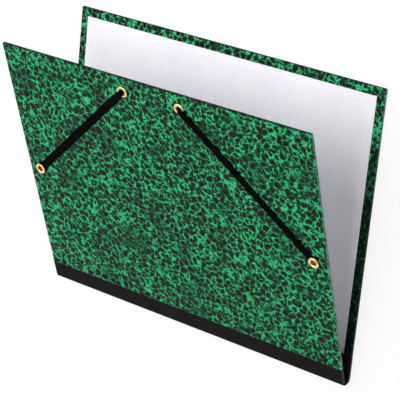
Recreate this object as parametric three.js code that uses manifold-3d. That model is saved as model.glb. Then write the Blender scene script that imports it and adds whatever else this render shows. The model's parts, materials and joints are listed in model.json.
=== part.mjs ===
// A drawing portfolio: two stiff board covers joined by a cloth spine, with a flat elastic that
// closes its corners. It lies on its back cover with the front cover ajar.
// Millimetres. +X runs along the spine, +Y from the spine to the fore-edge, +Z up.
// The origin is the bottom centre of the whole portfolio as it lies.

import * as THREE from 'three';
import { mergeVertices } from 'three/addons/utils/BufferGeometryUtils.js';
import Module from 'manifold-3d';

const wasm = await Module();
wasm.setup();

// Covers
const coverWidth = 330;         // along the spine
const coverDepth = 260;         // from the board's spine edge to the fore-edge
const boardThickness = 2;       // grey board
const openAngle = 21.9;         // degrees between the covers as the portfolio lies
const spineJoint = 9;           // between the two boards when the portfolio lies wide open
const closedGap = 2.6;          // between the hinge strips when it is shut

// Papers and cloth
const paperThickness = 0.2;     // marbled cover paper
const liningThickness = 0.2;    // white lining paper
const clothThickness = 0.3;     // spine cloth and inner hinge strip
const glueLine = 0.05;          // between two layers that are pasted together
const clothBand = 16.5;         // spine cloth that shows on each cover
const paperLap = 3;             // cover paper pasted over the edge of the spine cloth
const turnIn = 15;              // cover paper folded over onto the inner face
const turnInShown = 8;          // of that, the border that the lining leaves bare
const hingeStripWidth = 22;     // inner hinge strip on each cover
const hingeStripInset = 1.5;    // from the cover's ends
const buttGap = 0.3;            // between two edges that meet
const mitreGap = 0.3;           // seam between two turn-ins at a corner
const spineSlack = 2.6;         // how far the spine cloth stands out behind the boards

// Eyelets and elastic
const eyeletBore = 5.4;         // diameter of the hole
const eyeletWall = 0.35;        // sheet brass
const flangeDiameter = 10.4;    // rim that shows outside
const clinchDiameter = 8.2;     // rim rolled over inside
const flangeCrown = 0.9;        // how far the outer rim stands off what it sits on
const clinchCrown = 0.6;        // how far the inner rim stands off the lining
const eyeletClearance = 0.2;    // round the eyelet's tube, in all that it goes through
const topEyeletSpread = 61;     // between the two eyelets by the fore-edge
const topEyeletInset = 14;      // from the fore-edge
const sideEyeletInset = 13.5;   // from the cover's ends
const sideEyeletHeight = 130;   // from the spine edge of the board
const elasticWidth = 7.5;
const elasticThickness = 0.9;
const elasticTail = 4.4;        // elastic left beyond the middle of a side eyelet, under its rim
const elasticClearance = 0.35;  // between the elastic and what it lies on
const throatWidth = 4.2;        // elastic squeezed together where it goes through an eyelet
const throatThickness = 1.4;

const circleSegments = 32;
const spineSegments = 14;

// Worked out from the values above. A cover is drawn flat: x along the spine, u from the board's
// spine edge to the fore-edge, n outwards from the board's inner face.
const halfWidth = coverWidth / 2;
const boardHalfWidth = halfWidth - paperThickness - glueLine;
const boardDepth = coverDepth - paperThickness - glueLine;
const paperOut = boardThickness + glueLine + paperThickness;
const clothIn = boardThickness + glueLine;
const clothOut = clothIn + clothThickness;
const lapIn = clothOut + glueLine;
const lapOut = lapIn + paperThickness;
const turnInFace = -glueLine - paperThickness;
const liningBorderIn = turnInFace - glueLine;
const liningFace = liningBorderIn - liningThickness;
const clothTurnFace = -glueLine - clothThickness;
const stripIn = clothTurnFace - glueLine;
const stripOut = stripIn - clothThickness;
const openRadians = THREE.MathUtils.degToRad(openAngle);
const backLevel = lapOut;                         // height of the back board's inner face
const hingeOffset = closedGap / 2 - stripOut;     // from a board's inner face to the hinge axis
const hingeY = -spineJoint / 2;
const hingeZ = backLevel + hingeOffset;

const paints = {
  marbled: { color: 0x1f8a55, roughness: 0.45, metalness: 0 },
  cloth: { color: 0x1c1b1a, roughness: 0.85, metalness: 0 },
  board: { color: 0x8d8478, roughness: 0.9, metalness: 0 },
  lining: { color: 0xf1f1f3, roughness: 0.8, metalness: 0 },
  brass: { color: 0xc8963c, roughness: 0.3, metalness: 1 },
  elastic: { color: 0x0b0b0c, roughness: 0.8, metalness: 0 },
};

// A closed three.js geometry as a solid that can be joined and cut
function solidFrom(geometry) {
  const plain = geometry.index ? geometry.toNonIndexed() : geometry.clone();
  plain.deleteAttribute('normal');
  plain.deleteAttribute('uv');
  const merged = mergeVertices(plain, 1e-5);
  return new wasm.Manifold(new wasm.Mesh({
    numProp: 3,
    vertProperties: Float32Array.from(merged.attributes.position.array),
    triVerts: Uint32Array.from(merged.index.array),
  }));
}

// A solid as a three.js geometry
function geometryFrom(solid) {
  const mesh = solid.getMesh();
  const geometry = new THREE.BufferGeometry();
  geometry.setAttribute('position', new THREE.BufferAttribute(Float32Array.from(mesh.vertProperties), 3));
  geometry.setIndex(new THREE.BufferAttribute(Uint32Array.from(mesh.triVerts), 1));
  geometry.computeVertexNormals();
  return geometry;
}

// A block between two corners, each [x, u, n]
function block([x0, u0, n0], [x1, u1, n1]) {
  const geometry = new THREE.BoxGeometry(x1 - x0, u1 - u0, n1 - n0);
  geometry.translate((x0 + x1) / 2, (u0 + u1) / 2, (n0 + n1) / 2);
  return geometry;
}

function solidBlock(low, high) {
  return solidFrom(block(low, high));
}

// A round pin along n at [x, u]
function solidPin([x, u], radius, n0, n1) {
  const geometry = new THREE.CylinderGeometry(radius, radius, n1 - n0, circleSegments);
  geometry.rotateX(Math.PI / 2);
  geometry.translate(x, u, (n0 + n1) / 2);
  return solidFrom(geometry);
}

const topEyelets = [-1, 1].map((side) => [side * topEyeletSpread / 2, coverDepth - topEyeletInset]);
const sideEyelets = [-1, 1].map((side) => [side * (halfWidth - sideEyeletInset), sideEyeletHeight]);
const tubeRadius = eyeletBore / 2 + eyeletWall;

// Cuts the four eyelet holes through a layer of the front cover
function pierced(solid) {
  return [...topEyelets, ...sideEyelets].reduce(
    (cut, place) => cut.subtract(solidPin(place, tubeRadius + eyeletClearance, liningFace - 1, lapOut + 1)),
    solid,
  );
}

function boardSolid() {
  return solidBlock([-boardHalfWidth, 0, 0], [boardHalfWidth, boardDepth, boardThickness]);
}

// One sheet of marbled paper: over the outer face, round three edges and turned in, with mitred
// corners. Its spine edge laps over the cloth.
function coverPaperSolid() {
  const wall = halfWidth - paperThickness;
  const foreWall = coverDepth - paperThickness;
  const lapEnd = clothBand + paperLap + buttGap;
  const windowHalf = halfWidth - turnIn;
  let paper = solidBlock([-halfWidth, clothBand, turnInFace], [halfWidth, coverDepth, lapOut]);
  paper = paper.subtract(solidBlock([-wall, 0, -glueLine], [wall, foreWall, boardThickness + glueLine]));
  paper = paper.subtract(solidBlock([-windowHalf, 0, turnInFace - 1], [windowHalf, coverDepth - turnIn, 0]));
  paper = paper.subtract(solidBlock([-wall, 0, boardThickness], [wall, lapEnd, lapIn]));
  paper = paper.subtract(
    solidBlock([-halfWidth - 1, lapEnd + paperThickness, paperOut], [halfWidth + 1, coverDepth + 1, lapOut + 1]),
  );
  for (const side of [-1, 1]) {
    const seam = block([-mitreGap / 2, -turnIn * 2, turnInFace - 1], [mitreGap / 2, 0, -glueLine / 2]);
    seam.rotateZ(-side * Math.PI / 4);
    seam.translate(side * (wall - glueLine), foreWall - glueLine, 0);
    paper = paper.subtract(solidFrom(seam));
  }
  return paper;
}

// White lining over the edges of the turn-ins, stepped down onto the board inside them
function liningSolid() {
  const half = halfWidth - turnInShown;
  const top = coverDepth - turnInShown;
  const stepHalf = halfWidth - turnIn - glueLine;
  const stepTop = coverDepth - turnIn - glueLine;
  const bottom = hingeStripWidth + buttGap;
  let lining = solidBlock([-half, bottom, liningFace], [half, top, -glueLine]);
  const under = solidBlock([-half - 1, bottom - 1, liningBorderIn], [half + 1, top + 1, 0]).subtract(
    solidBlock([-stepHalf, 0, liningBorderIn - 1], [stepHalf, stepTop, 1]),
  );
  lining = lining.subtract(under);
  const innerHalf = stepHalf - liningThickness;
  const recess = solidBlock(
    [-innerHalf, 0, liningFace - 1],
    [innerHalf, stepTop - liningThickness, -glueLine - liningThickness],
  );
  return lining.subtract(recess);
}

// Moves a point of the front cover's [u, n] to the portfolio's [y, z]
function frontPoint(u, n) {
  const y = u + spineJoint / 2;
  const z = n + hingeOffset;
  return new THREE.Vector2(
    hingeY + y * Math.cos(openRadians) - z * Math.sin(openRadians),
    hingeZ + y * Math.sin(openRadians) + z * Math.cos(openRadians),
  );
}

function backPoint(u, n) {
  return new THREE.Vector2(u, backLevel - n);
}

// A strip of cloth from the back cover round the spine to the front cover. It lies at level n on
// both covers and reaches out behind the boards by bulge.
function clothStrip(n, reach, bulge, halfLength) {
  const handle = bulge / (0.75 * Math.cos(openRadians / 2));
  const curve = new THREE.CubicBezierCurve(
    backPoint(0, n),
    backPoint(-handle, n),
    frontPoint(-handle, n),
    frontPoint(0, n),
  );
  const middle = [backPoint(reach, n), ...curve.getPoints(spineSegments), frontPoint(reach, n)];
  const sides = [1, -1].map((sign) => middle.map((point, i) => {
    const before = middle[Math.max(i - 1, 0)];
    const after = middle[Math.min(i + 1, middle.length - 1)];
    const inward = before.clone().sub(point).normalize();
    const outward = after.clone().sub(point).normalize();
    const along = outward.sub(inward).normalize();
    return new THREE.Vector2(-along.y, along.x).multiplyScalar(sign * clothThickness / 2).add(point);
  }));
  const shape = new THREE.Shape([...sides[0], ...sides[1].reverse()]);
  const geometry = new THREE.ExtrudeGeometry(shape, { depth: 2 * halfLength, bevelEnabled: false });
  geometry.translate(0, 0, -halfLength);
  geometry.applyMatrix4(new THREE.Matrix4().makeBasis(
    new THREE.Vector3(0, 1, 0),
    new THREE.Vector3(0, 0, 1),
    new THREE.Vector3(1, 0, 0),
  ));
  return solidFrom(geometry);
}

// Cloth folded round one end of a cover at the spine, and turned in
function clothReturn(side) {
  const inset = clothThickness / 4;
  const reach = clothBand - buttGap;
  const edge = boardHalfWidth + glueLine;
  const outer = edge + clothThickness;
  const wall = solidBlock([edge, glueLine, clothTurnFace], [outer, reach, clothOut - inset]);
  const over = solidBlock([edge - clothBand, glueLine, clothIn + inset], [outer, reach, clothOut - inset]);
  const under = solidBlock([halfWidth - turnIn, glueLine, clothTurnFace], [outer, reach, -glueLine]);
  const piece = wall.add(over).add(under);
  return side > 0 ? piece : piece.mirror([1, 0, 0]);
}

const frontMatrix = new THREE.Matrix4()
  .makeTranslation(0, hingeY, hingeZ)
  .multiply(new THREE.Matrix4().makeRotationX(openRadians))
  .multiply(new THREE.Matrix4().makeTranslation(0, spineJoint / 2, hingeOffset));
const backMatrix = new THREE.Matrix4()
  .makeTranslation(0, 0, backLevel)
  .multiply(new THREE.Matrix4().makeRotationY(Math.PI));

function spineClothSolid() {
  let cloth = clothStrip(clothIn + clothThickness / 2, clothBand + paperLap, spineSlack, boardHalfWidth);
  for (const side of [-1, 1]) {
    for (const matrix of [backMatrix, frontMatrix]) {
      cloth = cloth.add(clothReturn(side).transform(matrix.toArray()));
    }
  }
  return cloth;
}

// The hinge strip lies just inside the spine cloth where they meet behind the boards
function hingeStripSolid() {
  const outerStart = clothIn + clothThickness / 2;
  const level = stripIn - clothThickness / 2;
  const startDifference = (outerStart - level) * Math.sin(openRadians / 2);
  const bulge = spineSlack + startDifference - clothThickness - buttGap;
  return clothStrip(level, hingeStripWidth, bulge, halfWidth - hingeStripInset);
}

// A brass eyelet: a rim outside, a tube through the cover and a rolled rim inside. seat is the
// level that the outer rim rests on.
function eyeletGeometry(seat) {
  const inner = eyeletBore / 2;
  const rim = flangeDiameter / 2;
  const clinch = clinchDiameter / 2;
  const foot = liningFace - glueLine;
  const top = seat + glueLine;
  const profile = [
    [inner, foot - clinchCrown + eyeletWall],
    [inner + eyeletWall, foot - clinchCrown],
    [clinch - eyeletWall, foot - clinchCrown + eyeletWall / 2],
    [clinch, foot - eyeletWall],
    [clinch, foot],
    [tubeRadius, foot],
    [tubeRadius, top],
    [rim, top],
    [rim, top + eyeletWall],
    [rim - eyeletWall * 2, top + flangeCrown * 0.8],
    [(rim + inner) / 2, top + flangeCrown],
    [inner + eyeletWall, top + flangeCrown * 0.8],
    [inner, top + flangeCrown * 0.35],
  ];
  const points = profile.map(([r, n]) => new THREE.Vector2(r, n));
  const geometry = new THREE.LatheGeometry([...points, points[0]], circleSegments);
  geometry.rotateX(Math.PI / 2);
  return geometry;
}

// One flat elastic: from a side eyelet over the corner to an eyelet by the fore-edge, through it,
// along the inside to the other one, out again and over to the second side eyelet.
function elasticSolid() {
  const [topX, topU] = topEyelets[1];
  const [sideX, sideU] = sideEyelets[1];
  const corner = new THREE.Vector2(sideX - topX, sideU - topU);
  const length = corner.length();
  corner.normalize();
  const flat = { width: elasticWidth, thickness: elasticThickness };
  const eased = { width: (elasticWidth + throatWidth) / 2, thickness: (elasticThickness + throatThickness) / 2 };
  const squeezed = { width: throatWidth, thickness: throatThickness };
  const trimmed = { width: elasticWidth * 0.6, thickness: elasticThickness };
  const outerRim = paperOut + glueLine + flangeCrown + elasticClearance;
  const innerRim = liningFace - glueLine - clinchCrown - elasticClearance;
  const outerLie = paperOut + elasticClearance + elasticThickness / 2;
  const innerLie = liningFace - elasticClearance - elasticThickness / 2;
  const rimReach = flangeDiameter / 2;
  const bend = throatThickness * 0.8;
  const inside = (back, n, section) => ({ point: new THREE.Vector3(topX - back, topU, n), ...section });
  const outside = (ahead, n, section) => ({
    point: new THREE.Vector3(topX + corner.x * ahead, topU + corner.y * ahead, n),
    ...section,
  });
  const half = [
    inside(topX, innerLie, flat),
    inside(rimReach * 2.5, innerLie, flat),
    inside(rimReach, innerRim - eased.thickness / 2, eased),
    inside(bend, innerRim - throatThickness / 2, squeezed),
    inside(0, liningFace, squeezed),
    inside(0, paperOut, squeezed),
    outside(bend, outerRim + throatThickness / 2, squeezed),
    outside(rimReach, outerRim + eased.thickness / 2, eased),
    outside(rimReach * 2.5, outerLie, flat),
    outside(length / 2, outerLie, flat),
    outside(length + elasticTail * 0.55, outerLie, flat),
    outside(length + elasticTail, outerLie, trimmed),
  ];
  const mirrored = half.slice(1).reverse().map((station) => ({
    ...station,
    point: new THREE.Vector3(-station.point.x, station.point.y, station.point.z),
  }));
  const tubeTop = outerLie + elasticThickness;
  return sideEyelets.reduce(
    (cut, place) => cut.subtract(solidPin(place, tubeRadius + eyeletClearance, 0, tubeTop)),
    solidFrom(loft([...mirrored, ...half])),
  );
}

// A band with rounded edges through stations, each with its point, width and thickness
function loft(stations) {
  const corner = 0.3;
  const outline = [
    [-1, -corner], [-1 + corner, -1], [1 - corner, -1], [1, -corner],
    [1, corner], [1 - corner, 1], [-1 + corner, 1], [-1, corner],
  ];
  const positions = [];
  let across = null;
  stations.forEach((station, i) => {
    const before = stations[Math.max(i - 1, 0)].point;
    const after = stations[Math.min(i + 1, stations.length - 1)].point;
    const tangent = after.clone().sub(before).normalize();
    const level = new THREE.Vector3(0, 0, 1).cross(tangent);
    if (level.length() > 0.5) across = level.normalize();
    const side = across.clone().addScaledVector(tangent, -across.dot(tangent)).normalize();
    const face = tangent.clone().cross(side).normalize();
    for (const [w, t] of outline) {
      const vertex = station.point.clone()
        .addScaledVector(side, w * station.width / 2)
        .addScaledVector(face, t * station.thickness / 2);
      positions.push(...vertex.toArray());
    }
  });
  const count = outline.length;
  const index = [];
  for (let i = 0; i < stations.length - 1; i += 1) {
    for (let j = 0; j < count; j += 1) {
      const a = i * count + j;
      const b = i * count + (j + 1) % count;
      index.push(a, b, a + count, b, b + count, a + count);
    }
  }
  const last = (stations.length - 1) * count;
  for (let j = 1; j < count - 1; j += 1) {
    index.push(0, j + 1, j);
    index.push(last, last + j, last + j + 1);
  }
  const geometry = new THREE.BufferGeometry();
  geometry.setAttribute('position', new THREE.BufferAttribute(new Float32Array(positions), 3));
  geometry.setIndex(index);
  return geometry;
}

function addMesh(parent, name, geometry, paint) {
  const mesh = new THREE.Mesh(geometry, new THREE.MeshStandardMaterial(paints[paint]));
  mesh.name = name;
  parent.add(mesh);
  return mesh;
}

const portfolio = new THREE.Group();

const backCover = new THREE.Group();
backCover.applyMatrix4(backMatrix);
addMesh(backCover, 'back_board', geometryFrom(boardSolid()), 'board');
addMesh(backCover, 'back_cover_paper', geometryFrom(coverPaperSolid()), 'marbled');
addMesh(backCover, 'back_lining', geometryFrom(liningSolid()), 'lining');
portfolio.add(backCover);

const frontCover = new THREE.Group();
frontCover.applyMatrix4(frontMatrix);
addMesh(frontCover, 'front_board', geometryFrom(pierced(boardSolid())), 'board');
addMesh(frontCover, 'front_cover_paper', geometryFrom(pierced(coverPaperSolid())), 'marbled');
addMesh(frontCover, 'front_lining', geometryFrom(pierced(liningSolid())), 'lining');
addMesh(frontCover, 'elastic', geometryFrom(elasticSolid()), 'elastic');
for (const [row, places, seat] of [
  ['top', topEyelets, paperOut],
  ['side', sideEyelets, paperOut + 2 * elasticClearance + elasticThickness],
]) {
  places.forEach(([x, u], i) => {
    const eyelet = addMesh(frontCover, `${row}_eyelet_${['left', 'right'][i]}`, eyeletGeometry(seat), 'brass');
    eyelet.position.set(x, u, 0);
  });
}
portfolio.add(frontCover);

addMesh(portfolio, 'spine_cloth', geometryFrom(spineClothSolid()), 'cloth');
addMesh(portfolio, 'hinge_strip', geometryFrom(hingeStripSolid()), 'cloth');

// The origin goes under the middle of the whole portfolio
const bounds = new THREE.Box3().setFromObject(portfolio, true);
portfolio.position.y = -(bounds.min.y + bounds.max.y) / 2;

const group = new THREE.Group();
group.add(portfolio);

export default group;
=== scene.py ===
"""Looks of a drawing portfolio: marbled covers, a cloth spine, brass eyelets and a flat elastic."""

import json
import logging
import math
from dataclasses import dataclass
from enum import Enum
from typing import Any, Callable, Sequence

import bmesh
import bpy
from mathutils import Matrix, Vector, noise

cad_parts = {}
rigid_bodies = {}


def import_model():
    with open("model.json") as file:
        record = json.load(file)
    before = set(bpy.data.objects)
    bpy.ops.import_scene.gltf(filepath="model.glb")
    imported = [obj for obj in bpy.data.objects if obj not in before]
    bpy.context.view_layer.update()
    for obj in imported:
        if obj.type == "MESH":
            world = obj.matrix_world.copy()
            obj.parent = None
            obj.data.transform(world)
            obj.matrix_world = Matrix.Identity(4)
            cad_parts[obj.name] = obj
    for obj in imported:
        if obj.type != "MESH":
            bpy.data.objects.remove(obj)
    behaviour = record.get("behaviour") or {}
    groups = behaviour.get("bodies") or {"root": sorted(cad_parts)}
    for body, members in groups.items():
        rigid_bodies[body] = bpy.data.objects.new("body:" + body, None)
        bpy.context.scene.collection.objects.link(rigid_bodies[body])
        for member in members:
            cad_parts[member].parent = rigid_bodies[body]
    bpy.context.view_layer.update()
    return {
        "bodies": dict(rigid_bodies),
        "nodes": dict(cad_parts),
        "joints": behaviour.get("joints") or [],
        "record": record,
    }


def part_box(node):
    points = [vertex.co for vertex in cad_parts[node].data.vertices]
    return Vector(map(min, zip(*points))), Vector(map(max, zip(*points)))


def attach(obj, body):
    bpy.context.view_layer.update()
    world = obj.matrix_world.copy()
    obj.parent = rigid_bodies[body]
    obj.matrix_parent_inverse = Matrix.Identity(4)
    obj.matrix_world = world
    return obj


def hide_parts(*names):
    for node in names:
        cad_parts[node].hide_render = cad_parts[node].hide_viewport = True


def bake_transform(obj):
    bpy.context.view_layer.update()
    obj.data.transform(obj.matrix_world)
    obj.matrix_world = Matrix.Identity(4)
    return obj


LOG = logging.getLogger("portfolio")
MM = 0.001
TO_MM = 1 / MM

# Thicknesses of the pasted layers, in metres
GLUE = 0.05 * MM
PAPER = 0.2 * MM
CLOTH = 0.3 * MM
TURN_IN = 15 * MM
PAPER_LAP = 3 * MM
BUTT_GAP = 0.3 * MM

# The eyelets' rims, which the elastic passes over
RIM = 5.2 * MM
CROWN = 0.9 * MM
CLINCH_CROWN = 0.6 * MM

# A curve with two handles stands out by this share of their length
HANDLE_SHARE = 0.75

# The punch that makes the holes
PUNCH_SIDES = 48
PUNCH_LENGTH = 12 * MM

WHITE = (1.0, 1.0, 1.0)

Triple = tuple[float, float, float]
Colour = Triple
Point = tuple[float, float]
Rows = list[list[Vector]]

# The x, u and radius of a hole in a cover
Hole = Triple

# A point of the elastic's route, with its width and thickness there
RoutePoint = tuple[Vector, float, float]


class Body(Enum):
    """The two rigid bodies that pieces ride on."""

    BACK = "back_cover"
    FRONT = "front_cover"


class Slot(Enum):
    """The record's material slots."""

    MARBLED = "marbled_paper"
    LINING = "lining_paper"
    CLOTH = "book_cloth"
    ELASTIC = "elastic"
    BRASS = "brass"


class Leaf(Enum):
    """The two leaves of a folded sheet's edge."""

    OUTER = "outer"
    TURNED = "turned in"


# Gives the x and u of a folded edge's points, by their distance in from the edge and their leaf
Station = Callable[[float, Leaf], Point]


def linear(code: str) -> Colour:
    """Turns a screen colour into the light values that shaders use.

    Args:
        code: the colour as six hexadecimal digits.

    Returns:
        Red, green and blue as linear values.
    """
    parts = [int(code[i:i + 2], 16) / 255 for i in (0, 2, 4)]
    red, green, blue = (c / 12.92 if c <= 0.04045 else ((c + 0.055) / 1.055) ** 2.4 for c in parts)
    return (red, green, blue)


class Signal:
    """A value or vector that flows between shader nodes. Arithmetic on it adds Math nodes."""

    def __init__(self, tree: "NodeTree", socket: Any) -> None:
        """Keeps the tree and the output socket that carries the value."""
        self.tree = tree
        self.socket = socket

    def __add__(self, other: Any) -> "Signal":
        """Adds another value."""
        return self.tree.math("ADD", self, other)

    def __radd__(self, other: Any) -> "Signal":
        """Adds this to a number."""
        return self.tree.math("ADD", other, self)

    def __sub__(self, other: Any) -> "Signal":
        """Takes another value away."""
        return self.tree.math("SUBTRACT", self, other)

    def __rsub__(self, other: Any) -> "Signal":
        """Takes this away from a number."""
        return self.tree.math("SUBTRACT", other, self)

    def __mul__(self, other: Any) -> "Signal":
        """Multiplies by another value."""
        return self.tree.math("MULTIPLY", self, other)

    def __rmul__(self, other: Any) -> "Signal":
        """Multiplies a number by this."""
        return self.tree.math("MULTIPLY", other, self)

    def at_least(self, other: Any) -> "Signal":
        """The larger of this and another value."""
        return self.tree.math("MAXIMUM", self, other)

    def wave(self, pitch: float) -> "Signal":
        """A ridge profile from 0 to 1 that repeats at a pitch."""
        return self.tree.math("SINE", self * (2 * math.pi / pitch)) * 0.5 + 0.5

    def step(self, low: Any, high: Any) -> "Signal":
        """Rises smoothly from 0 at low to 1 at high.

        Args:
            low: the value where the result is 0.
            high: the value where the result is 1.

        Returns:
            The eased step.
        """
        return self.tree.node(
            "ShaderNodeMapRange",
            {"interpolation_type": "SMOOTHSTEP"},
            {"Value": self, "From Min": low, "From Max": high},
            "Result",
        )


class NodeTree:
    """The emptied node tree of a material or of the world."""

    def __init__(self, owner: Any, end: str) -> None:
        """Clears the owner's nodes.

        Args:
            owner: the material or world.
            end: the type of its output node.
        """
        owner.use_nodes = True
        self.nodes = owner.node_tree.nodes
        self.links = owner.node_tree.links
        self.end = end
        self.nodes.clear()

    def feed(self, socket: Any, value: Any) -> None:
        """Sets an input socket, or links a signal to it.

        Args:
            socket: the input socket.
            value: a signal, number, vector or colour.
        """
        if isinstance(value, Signal):
            self.links.new(value.socket, socket)
        elif socket.type == "RGBA" and len(value) == 3:
            socket.default_value = (*value, 1.0)
        else:
            socket.default_value = value

    def node(
        self,
        kind: str,
        settings: dict[str, Any] | None = None,
        values: dict[str | int, Any] | None = None,
        output: str | int = 0,
    ) -> Signal:
        """Adds a node.

        Args:
            kind: the node's type.
            settings: its properties, set first.
            values: values or signals for its sockets.
            output: the output that is wanted.

        Returns:
            That output as a signal.
        """
        made = self.nodes.new(kind)
        for key, value in (settings or {}).items():
            setattr(made, key, value)
        for key, value in (values or {}).items():
            self.feed(made.inputs[key], value)
        return Signal(self, made.outputs[output])

    def surface(self, shader: Signal) -> None:
        """Links a shader to the output."""
        end = self.nodes.new(self.end)
        self.links.new(shader.socket, end.inputs["Surface"])

    def math(self, operation: str, *terms: Any) -> Signal:
        """Adds a Math node on one, two or three terms."""
        return self.node("ShaderNodeMath", {"operation": operation}, dict(enumerate(terms)))

    def vector(self, operation: str, *terms: Any) -> Signal:
        """Adds a Vector Math node.

        Args:
            operation: what it does.
            *terms: its vectors, and the number that SCALE takes.

        Returns:
            The vector, or the number of an operation that gives one.
        """
        output = 1 if operation in ("LENGTH", "DOT_PRODUCT", "DISTANCE") else 0
        values: dict[str | int, Any] = dict(enumerate(terms))
        if operation == "SCALE":
            values = {0: terms[0], "Scale": terms[1]}
        return self.node("ShaderNodeVectorMath", {"operation": operation}, values, output)

    def mix(self, factor: Any, first: Any, second: Any, blend: str = "MIX") -> Signal:
        """Blends two colours.

        Args:
            factor: how much of the second shows.
            first: the first colour.
            second: the second colour.
            blend: the way they are blended.

        Returns:
            The blended colour.
        """
        settings = {"data_type": "RGBA", "blend_type": blend, "clamp_factor": True}
        return self.node("ShaderNodeMix", settings, {0: factor, 6: first, 7: second}, 2)

    def millimetres(self) -> Signal:
        """The place on the portfolio at rest, in millimetres."""
        place = self.node("ShaderNodeTexCoord", None, None, "Object")
        return self.vector("SCALE", place, TO_MM)

    def part(self, place: Signal, axis: int) -> Signal:
        """The x, y or z of a vector, as axis 0, 1 or 2."""
        return self.node("ShaderNodeSeparateXYZ", None, {0: place}, axis)

    def laid_flat(self) -> tuple[Signal, Signal]:
        """The place along and across the laid-out material, in millimetres, from its UV map."""
        place = self.node("ShaderNodeTexCoord", None, None, "UV")
        return self.part(place, 0) * TO_MM, self.part(place, 1) * TO_MM

    def warped(self, place: Signal, scale: float, reach: float) -> Signal:
        """Moves places about by noise.

        Args:
            place: where it is read.
            scale: features to a millimetre.
            reach: how far a place moves, in millimetres.

        Returns:
            The moved place.
        """
        values = {"Vector": place, "Scale": scale, "Detail": 2.0}
        swirl = self.node("ShaderNodeTexNoise", None, values, 1)
        centred = self.vector("SUBTRACT", swirl, (0.5, 0.5, 0.5))
        return self.vector("ADD", place, self.vector("SCALE", centred, 2 * reach))

    def relief(self, height: Signal, depth: float) -> Signal:
        """Bump from a height between 0 and 1.

        Args:
            height: the height.
            depth: the height of 1, in metres.

        Returns:
            The bent normal.
        """
        return self.node("ShaderNodeBump", None, {"Strength": 1.0, "Distance": depth, "Height": height})

    def shown(self) -> Signal:
        """1 for rays of the camera, of reflections and through glass, and 0 for others.

        Returns:
            The mask.
        """
        seen, mirrored, passed = (
            self.node("ShaderNodeLightPath", None, None, f"Is {kind} Ray")
            for kind in ("Camera", "Glossy", "Transmission")
        )
        return seen.at_least(mirrored).at_least(passed)


class FinishTree(NodeTree):
    """The node tree of one material."""

    def __init__(self, name: str) -> None:
        """Makes an empty material of this name."""
        self.material = bpy.data.materials.new(name)
        super().__init__(self.material, "ShaderNodeOutputMaterial")

    def finish(self, **values: Any) -> bpy.types.Material:
        """Ends the tree with one Principled surface.

        Args:
            **values: its sockets, with spaces in their names written as underscores.

        Returns:
            The material.
        """
        sockets = {key.replace("_", " "): value for key, value in values.items()}
        self.surface(self.node("ShaderNodeBsdfPrincipled", None, sockets))
        return self.material


@dataclass(frozen=True)
class Cloud:
    """Noise from 0 to 1: its features to a millimetre, its finer layers and how strong they are."""

    scale: float
    detail: float
    roughness: float

    def on(self, tree: NodeTree, place: Signal) -> Signal:
        """The noise at a place."""
        values = {"Vector": place, "Scale": self.scale, "Detail": self.detail, "Roughness": self.roughness}
        return tree.node("ShaderNodeTexNoise", None, values, 0)


@dataclass(frozen=True)
class Patches(Cloud):
    """Noise cut between two levels, which gives soft patches."""

    low: float
    high: float

    def on(self, tree: NodeTree, place: Signal) -> Signal:
        """The mask of the patches."""
        return super().on(tree, place).step(self.low, self.high)


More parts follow.
